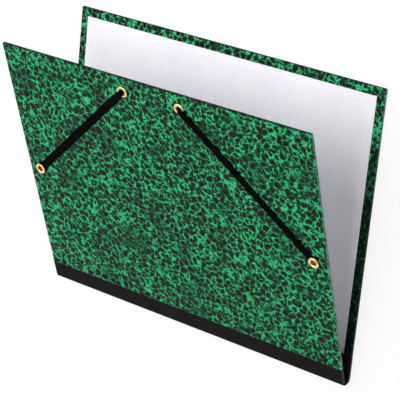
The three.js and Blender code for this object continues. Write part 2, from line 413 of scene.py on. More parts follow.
@dataclass(frozen=True)
class MarbledPaper:
    """Sponged marbled paper: dark cells in a ragged net of bright green.

    A sheet can carry painted shade towards the spine, where the front cover shades the back cover's
    border.
    """

    cover: "Cover"
    depth: float
    # How dark the painted shade towards the spine gets
    painted_shade_strength: float = 0.0
    bright: Colour = linear("2BC179")
    pale: Colour = linear("60BC93")
    shade: Colour = linear("04331D")
    black: Colour = linear("040705")
    brown: Colour = linear("231613")
    # The colour of the painted shade towards the spine
    painted_shade_colour: Colour = linear("020B07")
    # Pale side edges: rubbed, and a painted highlight where the side edge catches light
    rubbed_and_lit: Colour = linear("8DBBA4")
    # Millimetres
    cell: float = 5.8
    edge: float = 164.9
    rubbed_and_lit_width: float = 0.5
    # Where the painted shade towards the spine fades out
    painted_shade_span: Point = (10, 125)
    # Shares of a cell: the net's lines, what flakes and sponging add to them, and what breaks take off
    line: float = 0.03
    flake: float = 0.15
    sponging: float = 0.02
    gap: float = 0.05
    raggedness: float = 0.15
    line_edge: Point = (-0.025, 0.035)
    rim: Point = (0.06, 0.17)
    rim_break: float = 0.03
    # What bends the net: features to a millimetre, and reach in millimetres
    sway: Point = (0.12, 2.2)
    jitter: Point = (0.55, 0.85)
    flakes: Cloud = Cloud(0.24, 3.0, 0.65)
    frays: Cloud = Cloud(0.6, 2.0, 0.6)
    grain: Cloud = Cloud(2.5, 2.0, 0.5)
    sheen: Cloud = Cloud(0.02, 2.0, 0.5)
    # Levels of the flakes' noise: where they thicken the net, and where its green is full
    thickening: Point = (0.47, 0.7)
    filling: Point = (0.42, 0.56)
    # Patches where the pattern changes, and how strongly it does
    sponged: Patches = Patches(0.09, 2.0, 0.5, 0.5, 0.72)
    broken: Patches = Patches(0.2, 2.0, 0.7, 0.53, 0.44)
    tinted: Patches = Patches(0.2, 3.0, 0.6, 0.42, 0.58)
    faded: Patches = Patches(0.035, 3.0, 0.6, 0.5, 0.66)
    filled: Patches = Patches(0.5, 2.0, 0.5, 0.3, 0.55)
    # Patches along the rubbed side edges with their painted highlight
    rubbed_and_lit_patches: Patches = Patches(0.35, 3.0, 0.5, 0.3, 0.6)
    # Patches that break up the painted shade towards the spine
    painted_shade_flecks: Patches = Patches(0.4, 3.0, 0.6, 0.5, 0.62)
    paling: float = 0.7
    fading: float = 0.55
    starving: float = 0.5
    # Strength of the rubbed side edges with their painted highlight
    rubbed_and_lit_share: float = 0.55
    # How much those patches lift the painted shade
    painted_shade_flecking: float = 0.4
    # Painted shade of the fore-edge's side: a dark line where the sheet is folded over it, in millimetres
    # short of it
    fold_shade_span: Point = (0.9, 0.3)
    fold_shade: float = 0.75

    def net_distance(self, tree: FinishTree, place: Signal) -> Signal:
        """Distance to the lines of the net, as a share of a cell.

        Args:
            tree: the material's nodes.
            place: where it is read.

        Returns:
            The distance.
        """
        ragged = tree.warped(tree.warped(place, *self.sway), *self.jitter)
        values = {"Vector": ragged, "Scale": 1 / self.cell, "Randomness": 1.0}
        nearest, second = (
            tree.node("ShaderNodeTexVoronoi", {"feature": feature}, values) for feature in ("F1", "F2")
        )
        return (second - nearest) * 0.5

    def marbling(self, tree: FinishTree, place: Signal) -> tuple[Signal, Signal]:
        """The marbled pattern.

        Args:
            tree: the material's nodes.
            place: where it is read.

        Returns:
            The mask of the green net, and the pattern's colour.
        """
        flakes = self.flakes.on(tree, place)
        broken = self.broken.on(tree, place)
        reach = self.line + flakes.step(*self.thickening) * self.flake
        reach = reach + self.sponged.on(tree, place) * self.sponging - broken * self.gap
        frayed = (self.frays.on(tree, place) - 0.5) * self.raggedness
        beyond = self.net_distance(tree, place) + frayed - reach
        net = 1 - beyond.step(*self.line_edge)
        rim = 1 - (beyond - broken * self.rim_break).step(*self.rim)
        tint = self.tinted.on(tree, place)
        ground = tree.mix(rim, tree.mix(tint, self.black, self.brown), self.shade)
        thin = 1 - flakes.step(*self.filling)
        green = tree.mix(thin * self.paling, self.bright, self.pale)
        faded, starved = self.faded.on(tree, place), 1 - self.filled.on(tree, place)
        dimmed = tree.mix(faded * self.fading + starved * self.starving, green, self.shade)
        return net, tree.mix(net, ground, dimmed)

    def make(self) -> bpy.types.Material:
        """Makes the paper: the marbling, its sides rubbed pale with a painted highlight, painted shade on
        the fold and painted shade towards the spine.

        Returns:
            The material.
        """
        tree = FinishTree("marbled_paper")
        place = tree.millimetres()
        net, pattern = self.marbling(tree, place)
        # The side edges rubbed pale, partly a painted highlight where they catch light
        across = tree.math("ABSOLUTE", tree.part(place, 0))
        rubbed_and_lit_share = across.step(self.edge - self.rubbed_and_lit_width, self.edge)
        rubbed_and_lit_share = rubbed_and_lit_share * self.rubbed_and_lit_patches.on(tree, place)
        sheet = tree.mix(rubbed_and_lit_share * self.rubbed_and_lit_share, pattern, self.rubbed_and_lit)
        # Painted shade on the fold over the fore-edge, in the cells' black
        along = self.cover.along
        fold_at = (self.cover.origin.dot(along) + self.depth) * TO_MM
        fold = tree.vector("DOT_PRODUCT", place, tuple(along))
        fold = fold.step(*(fold_at - short for short in self.fold_shade_span))
        folded = tree.mix(fold * self.fold_shade, sheet, self.black)
        # Painted shade towards the spine, where the front cover shades the back cover's border
        painted_shade = (1 - tree.part(place, 1).step(*self.painted_shade_span)) * self.painted_shade_strength
        painted_shade = painted_shade * (1 - self.painted_shade_flecks.on(tree, place) * self.painted_shade_flecking)
        grain = self.grain.on(tree, place) * 0.6 + net * 0.4
        return tree.finish(
            Base_Color=tree.mix(painted_shade, folded, self.painted_shade_colour),
            Roughness=0.42 + net * 0.06 + self.sheen.on(tree, place) * 0.06,
            IOR=1.2,
            Specular_IOR_Level=0.4,
            Normal=tree.relief(grain, 0.02 * MM),
        )


@dataclass(frozen=True)
class WhiteLining:
    """Smooth white lining paper with a faint fibre."""

    white: Colour = linear("F6F5FA")
    faded: Colour = linear("F0EFF5")
    mottle: Cloud = Cloud(0.03, 4.0, 0.6)
    mottle_levels: Point = (0.35, 0.7)
    fibre: Cloud = Cloud(1.6, 4.0, 0.7)

    def make(self) -> bpy.types.Material:
        """Makes the lining paper.

        Returns:
            The material.
        """
        tree = FinishTree("lining_paper")
        place = tree.millimetres()
        mottle, fibre = self.mottle.on(tree, place), self.fibre.on(tree, place)
        fading = mottle.step(*self.mottle_levels) * 0.6 + fibre * 0.2
        colour = tree.mix(fading, self.white, self.faded)
        return tree.finish(
            Base_Color=colour,
            Roughness=0.62 + fibre * 0.15,
            IOR=1.25,
            Specular_IOR_Level=0.3,
            Normal=tree.relief(fibre * 0.7 + mottle * 0.3, 0.03 * MM),
        )


@dataclass(frozen=True)
class BookCloth:
    """Black book cloth in a plain weave, its threads filled with starch."""

    thread: float = 0.55
    dark: Colour = linear("0A0909")
    raised: Colour = linear("1C1A19")
    # The cloth's ends rubbed pale, partly a painted highlight where the board's edge catches light
    rubbed_and_lit: Colour = linear("5A5857")
    edge: float = 165.0
    rubbed_and_lit_width: float = 0.6
    rubbed_and_lit_share: float = 0.5
    slubs: Cloud = Cloud(0.5, 3.0, 0.5)
    slub_reach: float = 0.25
    worn: Patches = Patches(0.12, 4.0, 0.6, 0.4, 0.75)

    def make(self) -> bpy.types.Material:
        """Makes the cloth.

        Returns:
            The material.
        """
        tree = FinishTree("book_cloth")
        along, across = tree.laid_flat()
        place = tree.millimetres()
        slub = self.slubs.on(tree, place) * self.slub_reach
        warp = (along + slub).wave(self.thread)
        weft = (across + slub).wave(self.thread)
        weave = warp * weft + (1 - warp) * (1 - weft)
        # The ends rubbed pale, partly a painted highlight where they catch light
        ends = tree.math("ABSOLUTE", tree.part(place, 0))
        rubbed_and_lit_share = ends.step(self.edge - self.rubbed_and_lit_width, self.edge) * self.rubbed_and_lit_share
        cloth = tree.mix(weave * 0.55 + self.worn.on(tree, place) * 0.3, self.dark, self.raised)
        colour = tree.mix(rubbed_and_lit_share, cloth, self.rubbed_and_lit)
        return tree.finish(
            Base_Color=colour,
            Roughness=0.62 + weave * 0.2,
            IOR=1.2,
            Specular_IOR_Level=0.3,
            Normal=tree.relief(weave, 0.07 * MM),
        )


@dataclass(frozen=True)
class WovenElastic:
    """Flat black elastic: ribs along it, crossed by fine weft."""

    rib: float = 0.62
    weft: float = 0.5
    weft_sway: float = 0.12
    weft_share: float = 0.4
    black: Colour = linear("020202")
    sheen: Colour = linear("0A0A0B")

    def make(self) -> bpy.types.Material:
        """Makes the elastic's weave.

        Returns:
            The material.
        """
        tree = FinishTree("woven_elastic")
        along, across = tree.laid_flat()
        ribs = across.wave(self.rib)
        picks = (along + ribs * self.weft_sway).wave(self.weft)
        weave = ribs * (1 - self.weft_share + picks * self.weft_share)
        colour = tree.mix(weave, self.black, self.sheen)
        return tree.finish(
            Base_Color=colour,
            Roughness=0.65 + picks * 0.15,
            IOR=1.15,
            Specular_IOR_Level=0.12,
            Normal=tree.relief(weave, 0.1 * MM),
        )


@dataclass(frozen=True)
class PressedBrass:
    """Bright pressed brass in tarnished patches, with a painted highlight on its crown and painted shade
    in its bore.
    """

    # The painted highlight on the crown
    bright: Colour = linear("F8DFA4")
    gold: Colour = linear("DB9C42")
    dull: Colour = linear("A86C22")
    # The painted shade in the bore and on the rolled rim inside
    dark: Colour = linear("8A5618")
    tarnished: Patches = Patches(0.3, 3.0, 0.6, 0.45, 0.75)
    tarnishing: float = 0.75
    scuffs: Cloud = Cloud(2.0, 3.0, 0.5)
    # Heights over the rim's seat, in millimetres: where the painted shade in the bore gives out, and where
    # the painted highlight on the crown comes in
    foot: Point = (-1.2, 0.5)
    crown: Point = (0.3, 0.8)

    def make(self) -> bpy.types.Material:
        """Makes the brass.

        Returns:
            The material.
        """
        tree = FinishTree("pressed_brass")
        place = tree.millimetres()
        tarnish = self.tarnished.on(tree, place) * self.tarnishing
        # Painted shade low in the bore, and a painted highlight on the crown, by height over the seat
        _, level = tree.laid_flat()
        hollow = 1 - level.step(*self.foot)
        crown = tree.mix(level.step(*self.crown), self.gold, self.bright)
        colour = tree.mix(hollow, tree.mix(tarnish, crown, self.dull), self.dark)
        return tree.finish(
            Base_Color=colour,
            Metallic=1.0,
            Roughness=0.22 + tarnish * 0.15,
            Normal=tree.relief(self.scuffs.on(tree, place), 0.01 * MM),
        )


@dataclass(frozen=True)
class GreyBoard:
    """Pulp board, seen only at the rims of the holes."""

    pulp: Colour = linear("8D8478")
    fleck: Colour = linear("6A6258")
    fibre: Cloud = Cloud(1.2, 5.0, 0.7)
    fleck_levels: Point = (0.4, 0.7)

    def make(self) -> bpy.types.Material:
        """Makes the board.

        Returns:
            The material.
        """
        tree = FinishTree("grey_board")
        fibre = self.fibre.on(tree, tree.millimetres())
        colour = tree.mix(fibre.step(*self.fleck_levels), self.pulp, self.fleck)
        return tree.finish(Base_Color=colour, Roughness=0.9, Normal=tree.relief(fibre, 0.1 * MM))


@dataclass(frozen=True)
class Cover:
    """Where a cover lies.

    Its layout is flat: x along the spine, u from the board's spine edge to the fore-edge, n outwards
    from the board's inner face.
    """

    name: str
    body: Body
    origin: Vector
    along: Vector
    outward: Vector

    def at(self, x: float, u: float, n: float) -> Vector:
        """The place of a point of the flat layout."""
        return self.origin + Vector((x, 0, 0)) + self.along * u + self.outward * n

    def flat(self, point: Vector) -> Point:
        """The x and u of a place."""
        return point.x, (point - self.origin).dot(self.along)


@dataclass(frozen=True)
class Layout:
    """The portfolio's sizes and places, read from the frame."""

    half_width: float
    depth: float
    board: float
    board_half: float
    band: float
    border: float
    lining_start: float
    strip_reach: float
    strip_half: float
    angle: float
    back: Cover
    front: Cover

    @classmethod
    def read(cls, frame: dict[str, Any]) -> "Layout":
        """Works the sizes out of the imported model.


        Returns:
            The layout.
        """
        low, high = (Vector(v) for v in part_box("back_board"))
        paper_low, paper_high = (Vector(v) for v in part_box("back_cover_paper"))
        lining_low, lining_high = (Vector(v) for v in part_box("back_lining"))
        strip_high = Vector(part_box("hinge_strip")[1])
        joint = frame["joints"][0]
        hinge = Vector(joint["pos_m"])
        angle = math.radians(-joint["range_deg"][0])
        turn = Matrix.Rotation(angle, 3, "X")
        corner = Vector((0, low.y, high.z))
        arm = Vector((0, low.y - hinge.y, hinge.z - high.z))
        back = Cover("back", Body.BACK, corner, Vector((0, 1, 0)), Vector((0, 0, -1)))
        front = Cover(
            "front", Body.FRONT, hinge + turn @ arm, turn @ Vector((0, 1, 0)), turn @ Vector((0, 0, 1))
        )
        return cls(
            half_width=paper_high.x,
            depth=paper_high.y - low.y,
            board=high.z - low.z,
            board_half=high.x,
            band=paper_low.y - low.y,
            border=paper_high.x - lining_high.x,
            lining_start=lining_low.y - low.y,
            strip_reach=strip_high.y - low.y,
            strip_half=strip_high.x,
            angle=angle,
            back=back,
            front=front,
        )

    @property
    def outer_face(self) -> float:
        """Level of the cover paper's outer face."""
        return self.board + GLUE + PAPER

    @property
    def cloth_face(self) -> float:
        """Level of the spine cloth's outer face."""
        return self.board + GLUE + CLOTH

    @property
    def lap_face(self) -> float:
        """Level of the cover paper where it laps over the cloth."""
        return self.cloth_face + GLUE + PAPER


def spaced(start: float, end: float, count: int) -> list[float]:
    """Evenly spaced values, both ends included."""
    return [start + (end - start) * i / (count - 1) for i in range(count)]


def eased(value: float, low: float, high: float) -> float:
    """A smooth step from 0 at low to 1 at high."""
    t = min(max((value - low) / (high - low), 0.0), 1.0)
    return t * t * (3 - 2 * t)


def turned_over(rows: list[list[Any]]) -> list[list[Any]]:
    """The same rows run the other way, so that the sheet's faces look the other way."""
    return [row[::-1] for row in rows]


class Fabricator:
    """Makes mesh objects out of grids of points."""

    def __init__(self, name: str) -> None:
        """Starts an empty piece.

        Args:
            name: the piece's name.
        """
        self.name = name
        self.mesh = bmesh.new()
        self.uv = self.mesh.loops.layers.uv.new("laid_flat")

    def grid(
        self,
        rows: Rows,
        places: list[list[Point]] | None = None,
        closed: bool = False,
        keep: Callable[[int, int], bool] | None = None,
    ) -> None:
        """Adds quads between rows of points.

        Args:
            rows: the rows, each as long as the others.
            places: each point's place on the laid-out material.
            closed: True where each row closes on itself.
            keep: says whether the quad at a row and column is wanted.
        """
        made = [[self.mesh.verts.new(p) for p in row] for row in rows]
        count = len(rows[0])
        for i in range(len(rows) - 1):
            for j in range(count if closed else count - 1):
                if keep and not keep(i, j):
                    continue
                k = (j + 1) % count
                corners = [(i, j), (i, k), (i + 1, k), (i + 1, j)]
                face = self.mesh.faces.new([made[a][b] for a, b in corners])
                face.smooth = True
                if places:
                    for loop, (a, b) in zip(face.loops, corners):
                        loop[self.uv].uv = places[a][b]

    def cap(self, points: list[Vector]) -> None:
        """Adds one flat face."""
        self.mesh.faces.new([self.mesh.verts.new(p) for p in points])

    def finish(self, thickness: float = 0.0, merge: float = 0.004 * MM) -> bpy.types.Object:
        """Turns the grids into an object.

        Args:
            thickness: how far an open sheet is thickened, against its faces. A piece without it is
                closed, and its faces are turned outwards.
            merge: points closer than this become one.

        Returns:
            The new object.
        """
        bmesh.ops.remove_doubles(self.mesh, verts=self.mesh.verts, dist=merge)
        bmesh.ops.dissolve_degenerate(self.mesh, edges=self.mesh.edges, dist=merge)
        if not thickness:
            bmesh.ops.recalc_face_normals(self.mesh, faces=self.mesh.faces)
        data = bpy.data.meshes.new(self.name)
        self.mesh.to_mesh(data)
        self.mesh.free()
        piece = bpy.data.objects.new(self.name, data)
        bpy.context.scene.collection.objects.link(piece)
        if thickness:
            solid = piece.modifiers.new("thickness", "SOLIDIFY")
            solid.thickness = thickness
            solid.offset = -1
            solid.use_even_offset = True
            bake_modifiers(piece)
        return piece


def bake_modifiers(piece: bpy.types.Object) -> None:
    """Puts a piece's modifiers into its mesh.

    Args:
        piece: the piece.
    """
    graph = bpy.context.evaluated_depsgraph_get()
    data = bpy.data.meshes.new_from_object(piece.evaluated_get(graph), depsgraph=graph)
    piece.modifiers.clear()
    piece.data = data


def punch(piece: bpy.types.Object, cover: Cover, holes: Sequence[Hole]) -> None:
    """Cuts round holes square through a piece.

    Args:
        piece: the piece.
        cover: the cover that it lies on.
        holes: the x, u and radius of each hole.
    """
    square = cover.outward.to_track_quat("Z", "Y").to_matrix().to_4x4()
    for x, u, radius in holes:
        shape = bmesh.new()
        bmesh.ops.create_cone(
            shape, cap_ends=True, segments=PUNCH_SIDES, radius1=radius, radius2=radius, depth=PUNCH_LENGTH
        )
        data = bpy.data.meshes.new("punch")
        shape.to_mesh(data)
        shape.free()
        cutter = bpy.data.objects.new("punch", data)
        bpy.context.scene.collection.objects.link(cutter)
        cutter.matrix_world = Matrix.Translation(cover.at(x, u, 0)) @ square
        cut = piece.modifiers.new("hole", "BOOLEAN")
        cut.operation = "DIFFERENCE"
        cut.solver = "EXACT"
        cut.object = cutter
        bpy.context.view_layer.update()
        bake_modifiers(piece)
        bpy.data.objects.remove(cutter)


def dress(
    piece: bpy.types.Object,
    material: bpy.types.Material,
    node: str,
    body: Body | None = None,
) -> None:
    """Gives a piece its material and its body, and hides the solid that it replaces.

    Args:
        piece: the piece.
        material: its finish.
        node: the solid that it replaces.
        body: the body that it rides on, left out for a piece that spans both covers.
    """
    piece.data.materials.clear()
    piece.data.materials.append(material)
    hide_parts(node)
    if body:
        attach(piece, body.value)
    LOG.info("%s: %d faces", piece.name, len(piece.data.polygons))


@dataclass
class CoverSheets:
    """The marbled sheet and the white lining of one cover."""

    layout: Layout
    cover: Cover
    marbled: bpy.types.Material
    white: bpy.types.Material
    holes: Sequence[Hole] = ()
    edge_radius: float = 0.5 * MM
    corner_radius: float = 1.3 * MM
    rim: float = 6 * MM
    seam: float = 0.13 * MM
    slope: float = 1.2 * MM
    warp: float = 0.16 * MM
    spine_calm: float = 10 * MM
    warp_inset: float = 50 * MM
    lining_warp_inset: float = 60 * MM
    lining_margin: float = 9 * MM
    lining_fill: float = 0.9
    ripples: float = 14
    lining_ripples: float = 11
    rim_middle: float = 3 * MM
    turn_in_steps: tuple[float, ...] = (4 * MM, 8 * MM, 11.5 * MM, TURN_IN)
    round_steps: int = 6

    @property
    def front(self) -> bool:
        """True for the front cover's sheets."""
        return self.cover.body is Body.FRONT

    def top(self, x: float, u: float) -> float:
        """Level of the outer face, with its lap over the cloth and a slight warp.

        Args:
            x: the place along the spine.
            u: the place from the board's spine edge.

        Returns:
            The level.
        """
        lay = self.layout
        lap_end = lay.band + PAPER_LAP
        lap = (lay.lap_face - lay.outer_face) * (1 - eased(u, lap_end, lap_end + self.slope))
        inset = min(lay.half_width - abs(x), lay.depth - u, u - lay.band + self.spine_calm)
        ripple = noise.noise(Vector((x * self.ripples, u * self.ripples, lay.depth * 5)))
        return lay.outer_face + lap + self.warp * ripple * eased(inset, self.rim, self.warp_inset)

    def wrap_profile(self) -> list[tuple[float, Leaf, float]]:
        """Section of the folded edge.

        Returns:
            Each point's distance in from the edge, the leaf it is on, and its level from that
            leaf's face.
        """
        r = self.edge_radius
        turns = spaced(0, math.pi / 2, self.round_steps)
        outer = [(r - r * math.sin(a), Leaf.OUTER, -r + r * math.cos(a)) for a in turns]
        inner = [(r - r * math.cos(a), Leaf.TURNED, r - r * math.sin(a)) for a in turns]
        flat = [(d, Leaf.OUTER, 0.0) for d in (self.rim, self.rim_middle, self.corner_radius)]
        turned = [(d, Leaf.TURNED, 0.0) for d in (self.corner_radius, *self.turn_in_steps)]
        return flat + outer + inner + turned

    def turned(self, d: float, leaf: Leaf) -> bool:
        """True on the turn-in, past the rounded corner."""
        return leaf is Leaf.TURNED and d > self.corner_radius * 1.01

    def seam_at(self, d: float, leaf: Leaf) -> float:
        """Half the gap between two turn-ins, and 0 before they start."""
        return self.seam if self.turned(d, leaf) else 0.0

    def side_station(self, u: float) -> Station:
        """A section across the folded edge of the left side.

        Args:
            u: its place from the board's spine edge.

        Returns:
            What gives the x and u of its points.
        """

        def place(d: float, leaf: Leaf) -> Point:
            """The x and u at a distance in from the edge."""
            return -self.layout.half_width + d, min(u, self.layout.depth - d - self.seam_at(d, leaf))

        return place

    def fore_station(self, x: float) -> Station:
        """A section across the folded fore-edge.

        Args:
            x: its place along the spine.

        Returns:
            What gives the x and u of its points.
        """

        def place(d: float, leaf: Leaf) -> Point:
            """The x and u at a distance in from the edge."""
            reach = self.layout.half_width - d - self.seam_at(d, leaf)
            return max(-reach, min(x, reach)), self.layout.depth - d

        return place

    def corner_station(self, turn: float) -> Station:
        """A section across the rounded left corner.

        Args:
            turn: its angle, from 0 at the side to a right angle at the fore-edge.

        Returns:
            What gives the x and u of its points.
        """
        r = self.corner_radius
        by_fore_edge = turn > 0.5

        def place(d: float, leaf: Leaf) -> Point:
            """A point of the section.

            Args:
                d: its distance in from the edge.
                leaf: the leaf that it is on.

            Returns:
                Its x and u.
            """
            reach, inset, seam = max(r - d, 0), max(d, r), self.seam_at(d, leaf)
            return (
                -self.layout.half_width + inset - reach * math.cos(turn) + (seam if by_fore_edge else 0),
                self.layout.depth - inset + reach * math.sin(turn) - (0 if by_fore_edge else seam),
            )

        return place

    @staticmethod
    def mirrored(station: Station) -> Station:
        """The same section on the right."""
        return lambda d, leaf: (-station(d, leaf)[0], station(d, leaf)[1])

    def stations(self, xs: list[float], us: list[float]) -> tuple[list[Station], set[int]]:
        """Sections round the three folded edges, from the left side to the right.

        Args:
            xs: places along the spine.
            us: places from the board's spine edge.

        Returns:
            The sections, and the numbers of those at the corners, where the turn-ins are cut away.
        """
        sides = [self.side_station(u) for u in us]
        turns = [self.corner_station(a) for a in spaced(0, math.pi / 2, self.round_steps)]
        left = sides + turns
        stations = left + [self.fore_station(x) for x in xs] + [self.mirrored(s) for s in reversed(left)]
        starts = (len(sides), len(left) + len(xs))
        return stations, {start + i for start in starts for i in range(len(turns) - 1)}

    def fold_point(self, station: Station, d: float, leaf: Leaf, n: float) -> Vector:
        """A point of the folded edge in space.

        Args:
            station: the section that it is on.
            d: its distance in from the edge.
            leaf: the leaf that it is on.
            n: its level from that leaf's face.

        Returns:
            The point.
        """
        x, u = station(d, leaf)
        return self.cover.at(x, u, n + (self.top(x, u) if leaf is Leaf.OUTER else -GLUE - PAPER))

    def paper(self) -> bpy.types.Object:
        """Makes the marbled sheet, with its turn-ins and mitred corners.

        Returns:
            The sheet.
        """
        lay = self.layout
        fab = Fabricator(f"{self.cover.name}_marbled_sheet")
        lap_end = lay.band + PAPER_LAP
        us = spaced(lay.band, lap_end, 3) + spaced(lap_end + 0.4 * MM, lap_end + self.slope, 3)
        us += spaced(lay.band + 8 * MM, lay.depth - self.rim, 40)
        xs = spaced(-lay.half_width + self.rim, lay.half_width - self.rim, 56)
        face = [[self.cover.at(x, u, self.top(x, u)) for x in xs] for u in us]
        fab.grid(face if self.front else turned_over(face))

        profile = self.wrap_profile()
        stations, corners = self.stations(xs, us)
        turned_from = next(i for i, (d, leaf, _) in enumerate(profile) if self.turned(d, leaf)) - 1
        last = len(profile) - 2
        sections = [[self.fold_point(station, *p) for p in profile] for station in stations]
        fab.grid(
            turned_over(sections) if self.front else sections,
            keep=lambda i, j: i not in corners or (last - j if self.front else j) < turned_from,
        )
        sheet = fab.finish(PAPER)
        punch(sheet, self.cover, self.holes)
        dress(sheet, self.marbled, f"{self.cover.name}_cover_paper", self.cover.body)
        return sheet

    def lining(self) -> bpy.types.Object:
        """Makes the white lining, which steps down inside the turn-ins.

        Returns:
            The sheet.
        """
        lay = self.layout
        fab = Fabricator(f"{self.cover.name}_white_lining")
        half, top = lay.half_width - lay.border, lay.depth - lay.border
        step = TURN_IN - lay.border
        calm = step + self.lining_margin
        near = [0, 0.3 * MM, step - 0.3 * MM, step, step + 0.5 * MM, step + self.slope, step + 3 * MM]
        xs = [-half + s for s in near] + spaced(-half + calm, half - calm, 44)
        xs += [half - s for s in reversed(near)]
        us = spaced(lay.lining_start, top - calm, 34) + [top - s for s in reversed(near)]
        border_level, centre_level = -2 * GLUE - 2 * PAPER, -GLUE - PAPER

        def level(x: float, u: float) -> float:
            """Level of the lining's face.

            Args:
                x: the place along the spine.
                u: the place from the board's spine edge.

            Returns:
                The level.
            """
            inset = min(half - abs(x), top - u)
            drop = eased(inset, step, step + self.slope)
            ripple = noise.noise(Vector((x * self.lining_ripples, u * self.lining_ripples, 3.0)))
            ripple *= self.warp * eased(inset, step, self.lining_warp_inset)
            return border_level + (centre_level - border_level) * drop - abs(ripple)

        rows = [[self.cover.at(x, u, level(x, u)) for x in xs] for u in us]
        fab.grid(turned_over(rows) if self.front else rows)
        sheet = fab.finish(PAPER * self.lining_fill)
        punch(sheet, self.cover, self.holes)
        dress(sheet, self.white, f"{self.cover.name}_lining", self.cover.body)
        return sheet


@dataclass
class Spine:
    """The spine cloth outside and the hinge strip inside."""

    layout: Layout
    cloth: bpy.types.Material
    slack: float = 2.6 * MM
    strip_gap: float = 0.3 * MM
    edge_radius: float = 0.35 * MM
    curve_steps: int = 30
    length_steps: int = 90
    blend_low: float = 0.9 * MM
    blend_high: float = 0.75 * MM
    blend_margin: float = 0.1 * MM
    fill: float = 0.95
    band_steps: tuple[float, ...] = (0.4 * MM, 1.5 * MM, 4 * MM, 8 * MM, 12 * MM)
    strip_steps: tuple[float, ...] = (0.5 * MM, 2 * MM, 5 * MM, 10 * MM, 16 * MM)
    return_steps: tuple[float, ...] = (5 * MM, 10 * MM, TURN_IN)

    def centre_line(self, n: float, bulge: float, reaches: list[float]) -> list[Vector]:
        """A path from the back cover round the spine to the front cover.

        Args:
            n: its level on both covers.
            bulge: how far it stands out behind the boards.
            reaches: places on each cover, from the board's edge inwards.

        Returns:
            The path's points, at x = 0.
        """
        lay = self.layout
        handle = bulge / (HANDLE_SHARE * math.cos(lay.angle / 2))
        a, b = lay.back.at(0, 0, n), lay.back.at(0, -handle, n)
        c, d = lay.front.at(0, -handle, n), lay.front.at(0, 0, n)
        bend = []
        for t in spaced(0, 1, self.curve_steps):
            s = 1 - t
            bend.append(a * s ** 3 + b * 3 * s * s * t + c * 3 * s * t * t + d * t ** 3)
        backward = [lay.back.at(0, u, n) for u in reversed(reaches)]
        forward = [lay.front.at(0, u, n) for u in reaches]
        return backward + bend + forward

    @staticmethod
    def lengths(path: list[Vector]) -> list[float]:
        """The distance run at each point of a path.

        Args:
            path: its points.

        Returns:
            The distances, from 0.
        """
        run = [0.0]
        for before, after in zip(path, path[1:]):
            run.append(run[-1] + (after - before).length)
        return run

    @staticmethod
    def offset(path: list[Vector], distance: float) -> list[Vector]:
        """Moves a path sideways.

        Args:
            path: its points.
            distance: how far it moves, outwards where this is positive.

        Returns:
            The moved points.
        """
        moved = []
        for i, point in enumerate(path):
            along = (path[min(i + 1, len(path) - 1)] - path[max(i - 1, 0)]).normalized()
            moved.append(point + Vector((0, -along.z, along.y)) * distance)
        return moved

    @staticmethod
    def swept(path: list[Vector], xs: list[float]) -> Rows:
        """The path's points, each repeated along the spine."""
        return [[p + Vector((x, 0, 0)) for x in xs] for p in path]

    def join(self, piece: bpy.types.Object) -> None:
        """Bakes a piece's placement into its mesh.

        Args:
            piece: the piece.
        """
        lay = self.layout
        low = lay.back.origin.z + self.blend_low
        high = lay.front.at(0, 0, -self.blend_high).z - self.blend_margin
        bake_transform(piece)

    def outer(self) -> bpy.types.Object:
        """Makes the spine cloth, with its returns round the ends of the boards.

        Returns:
            The cloth.
        """
        lay = self.layout
        fab = Fabricator("spine_book_cloth")
        reaches = [*self.band_steps, lay.band - BUTT_GAP, lay.band + PAPER_LAP]
        path = self.centre_line(lay.cloth_face - CLOTH / 2, self.slack, reaches)
        run = self.lengths(path)
        half = lay.board_half + GLUE + CLOTH
        xs = spaced(-half + self.edge_radius, half - self.edge_radius, self.length_steps)
        fab.grid(self.swept(self.offset(path, CLOTH / 2), xs), [[(x, s) for x in xs] for s in run])
        for cover in (lay.back, lay.front):
            for side in (-1, 1):
                self.return_sheet(fab, cover, side, half, reaches[:-1])
        piece = fab.finish(CLOTH * self.fill)
        dress(piece, self.cloth, "spine_cloth")
        self.join(piece)
        turned = lay.board + TURN_IN
        2 * half * run[-1] + 4 * turned * reaches[-2]
        return piece

    def return_sheet(
        self, fab: Fabricator, cover: Cover, side: int, half: float, reaches: list[float]
    ) -> None:
        """Adds the cloth folded round one end of one board.

        Args:
            fab: where it is added.
            cover: the cover.
            side: -1 at the left end and 1 at the right.
            half: half the cloth's width round the boards.
            reaches: places along the fold, from the board's spine edge.
        """
        r, top, inner = self.edge_radius, self.layout.cloth_face, -GLUE - CLOTH
        turns = spaced(0, math.pi / 2, 5)
        section = [(half - r + r * math.sin(a), top - r + r * math.cos(a)) for a in turns]
        section += [(half - r + r * math.cos(a), inner + r - r * math.sin(a)) for a in turns]
        section += [(half - reach, inner) for reach in self.return_steps]
        run = self.lengths([Vector((0, x, n)) for x, n in section])
        rows = [[cover.at(side * x, u, n) for x, n in section] for u in reaches]
        places = [[(half + s, u) for s in run] for u in reaches]
        if (side > 0) == (cover.body is Body.BACK):
            rows, places = turned_over(rows), turned_over(places)
        fab.grid(rows, places)

    def inner(self) -> bpy.types.Object:
        """Makes the hinge strip inside the joint.

        Returns:
            The strip.
        """
        lay = self.layout
        fab = Fabricator("inner_hinge_strip")
        level = -GLUE * 2 - CLOTH * 1.5
        start_difference = (lay.cloth_face - CLOTH / 2 - level) * math.sin(lay.angle / 2)
        bulge = self.slack + start_difference - CLOTH - self.strip_gap
        path = self.centre_line(level, bulge, [*self.strip_steps, lay.strip_reach])
        run = self.lengths(path)
        xs = spaced(-lay.strip_half, lay.strip_half, self.length_steps)[::-1]
        fab.grid(self.swept(self.offset(path, -CLOTH / 2), xs), [[(x, s) for x in xs] for s in run])
        piece = fab.finish(CLOTH * self.fill)
        dress(piece, self.cloth, "hinge_strip")
        self.join(piece)
        return piece


